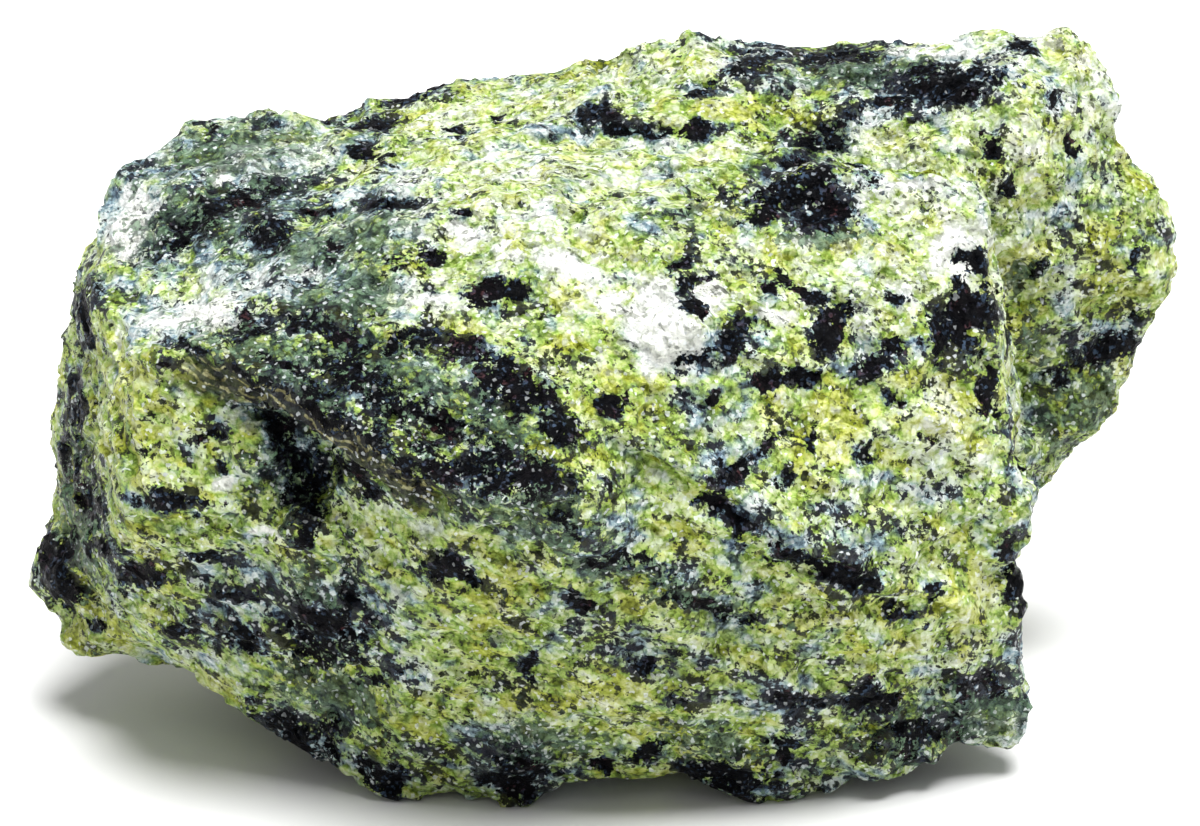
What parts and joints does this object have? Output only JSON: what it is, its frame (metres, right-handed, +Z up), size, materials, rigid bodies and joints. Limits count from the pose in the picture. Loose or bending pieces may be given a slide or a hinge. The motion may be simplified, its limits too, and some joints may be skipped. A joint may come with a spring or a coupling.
{
  "type": "serpentine rock specimen",
  "caption": "Hand specimen of mottled yellow-green and black serpentine rock, a rough broken block with a jutting shelf and a raised shoulder.",
  "frame": {"origin": "under the middle of the rock's box, on the surface that it rests on", "axes": "+X along the rock's length towards the raised shoulder's end, +Y from the broad front to the back, +Z up"},
  "size_m": [0.084, 0.0542, 0.0485],
  "materials": {
    "serpentine": "fresh broken surface: lime and yellow-green grains speckled with dark blue-green and black, waxy to slightly glossy"
  },
  "bodies": {
    "root": {"serpentine_rock": "serpentine"}
  },
  "joints": []
}
